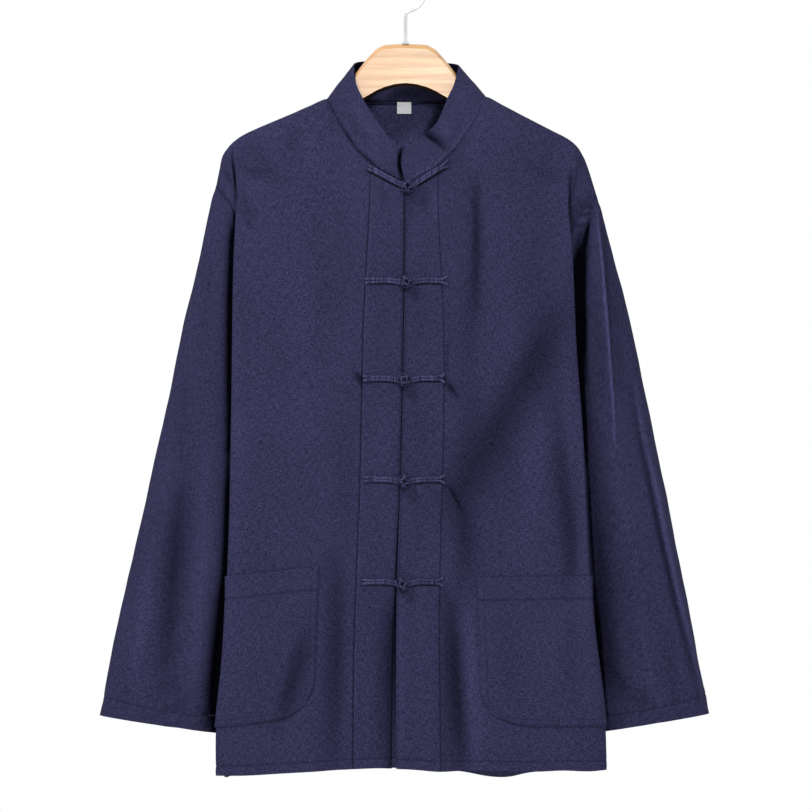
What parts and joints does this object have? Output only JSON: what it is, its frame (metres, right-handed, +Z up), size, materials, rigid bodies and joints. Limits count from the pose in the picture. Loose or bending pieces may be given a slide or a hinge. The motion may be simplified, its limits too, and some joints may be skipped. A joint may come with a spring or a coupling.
{
  "type": "tang suit jacket on a wooden hanger",
  "caption": "Stand-collar cotton jacket with long set-in sleeves, patch pockets and knotted cord frogs down the front, hanging from a wooden hanger with a metal hook.",
  "frame": {"origin": "the highest point of the inside of the hanger's hook, where a rod or peg carries the hanger and the jacket", "axes": "+Z up; the front of the jacket faces -Y; +X towards the wearer's left, which is the viewer's right"},
  "size_m": [0.681, 0.1298, 0.908],
  "materials": {
    "cotton": "matt dark navy plain-weave cotton with fine slubs",
    "cord": "matt dark navy cotton cord",
    "label": "matt white woven tape, left bare",
    "wood": "pale satin-varnished wood",
    "hook_metal": "polished chrome-plated steel wire"
  },
  "bodies": {
    "root": {"front_right": "cotton", "front_left": "cotton", "back": "cotton", "sleeve_right": "cotton", "sleeve_left": "cotton", "collar": "cotton", "pocket_right": "cotton", "pocket_left": "cotton", "frog_knot_1": "cord", "frog_knot_2": "cord", "frog_knot_3": "cord", "frog_knot_4": "cord", "frog_knot_5": "cord", "frog_loop_1": "cord", "frog_loop_2": "cord", "frog_loop_3": "cord", "frog_loop_4": "cord", "frog_loop_5": "cord", "size_label": "label", "hanger_wood": "wood", "hook_ferrule": "hook_metal", "hanger_hook": "hook_metal"}
  },
  "joints": []
}
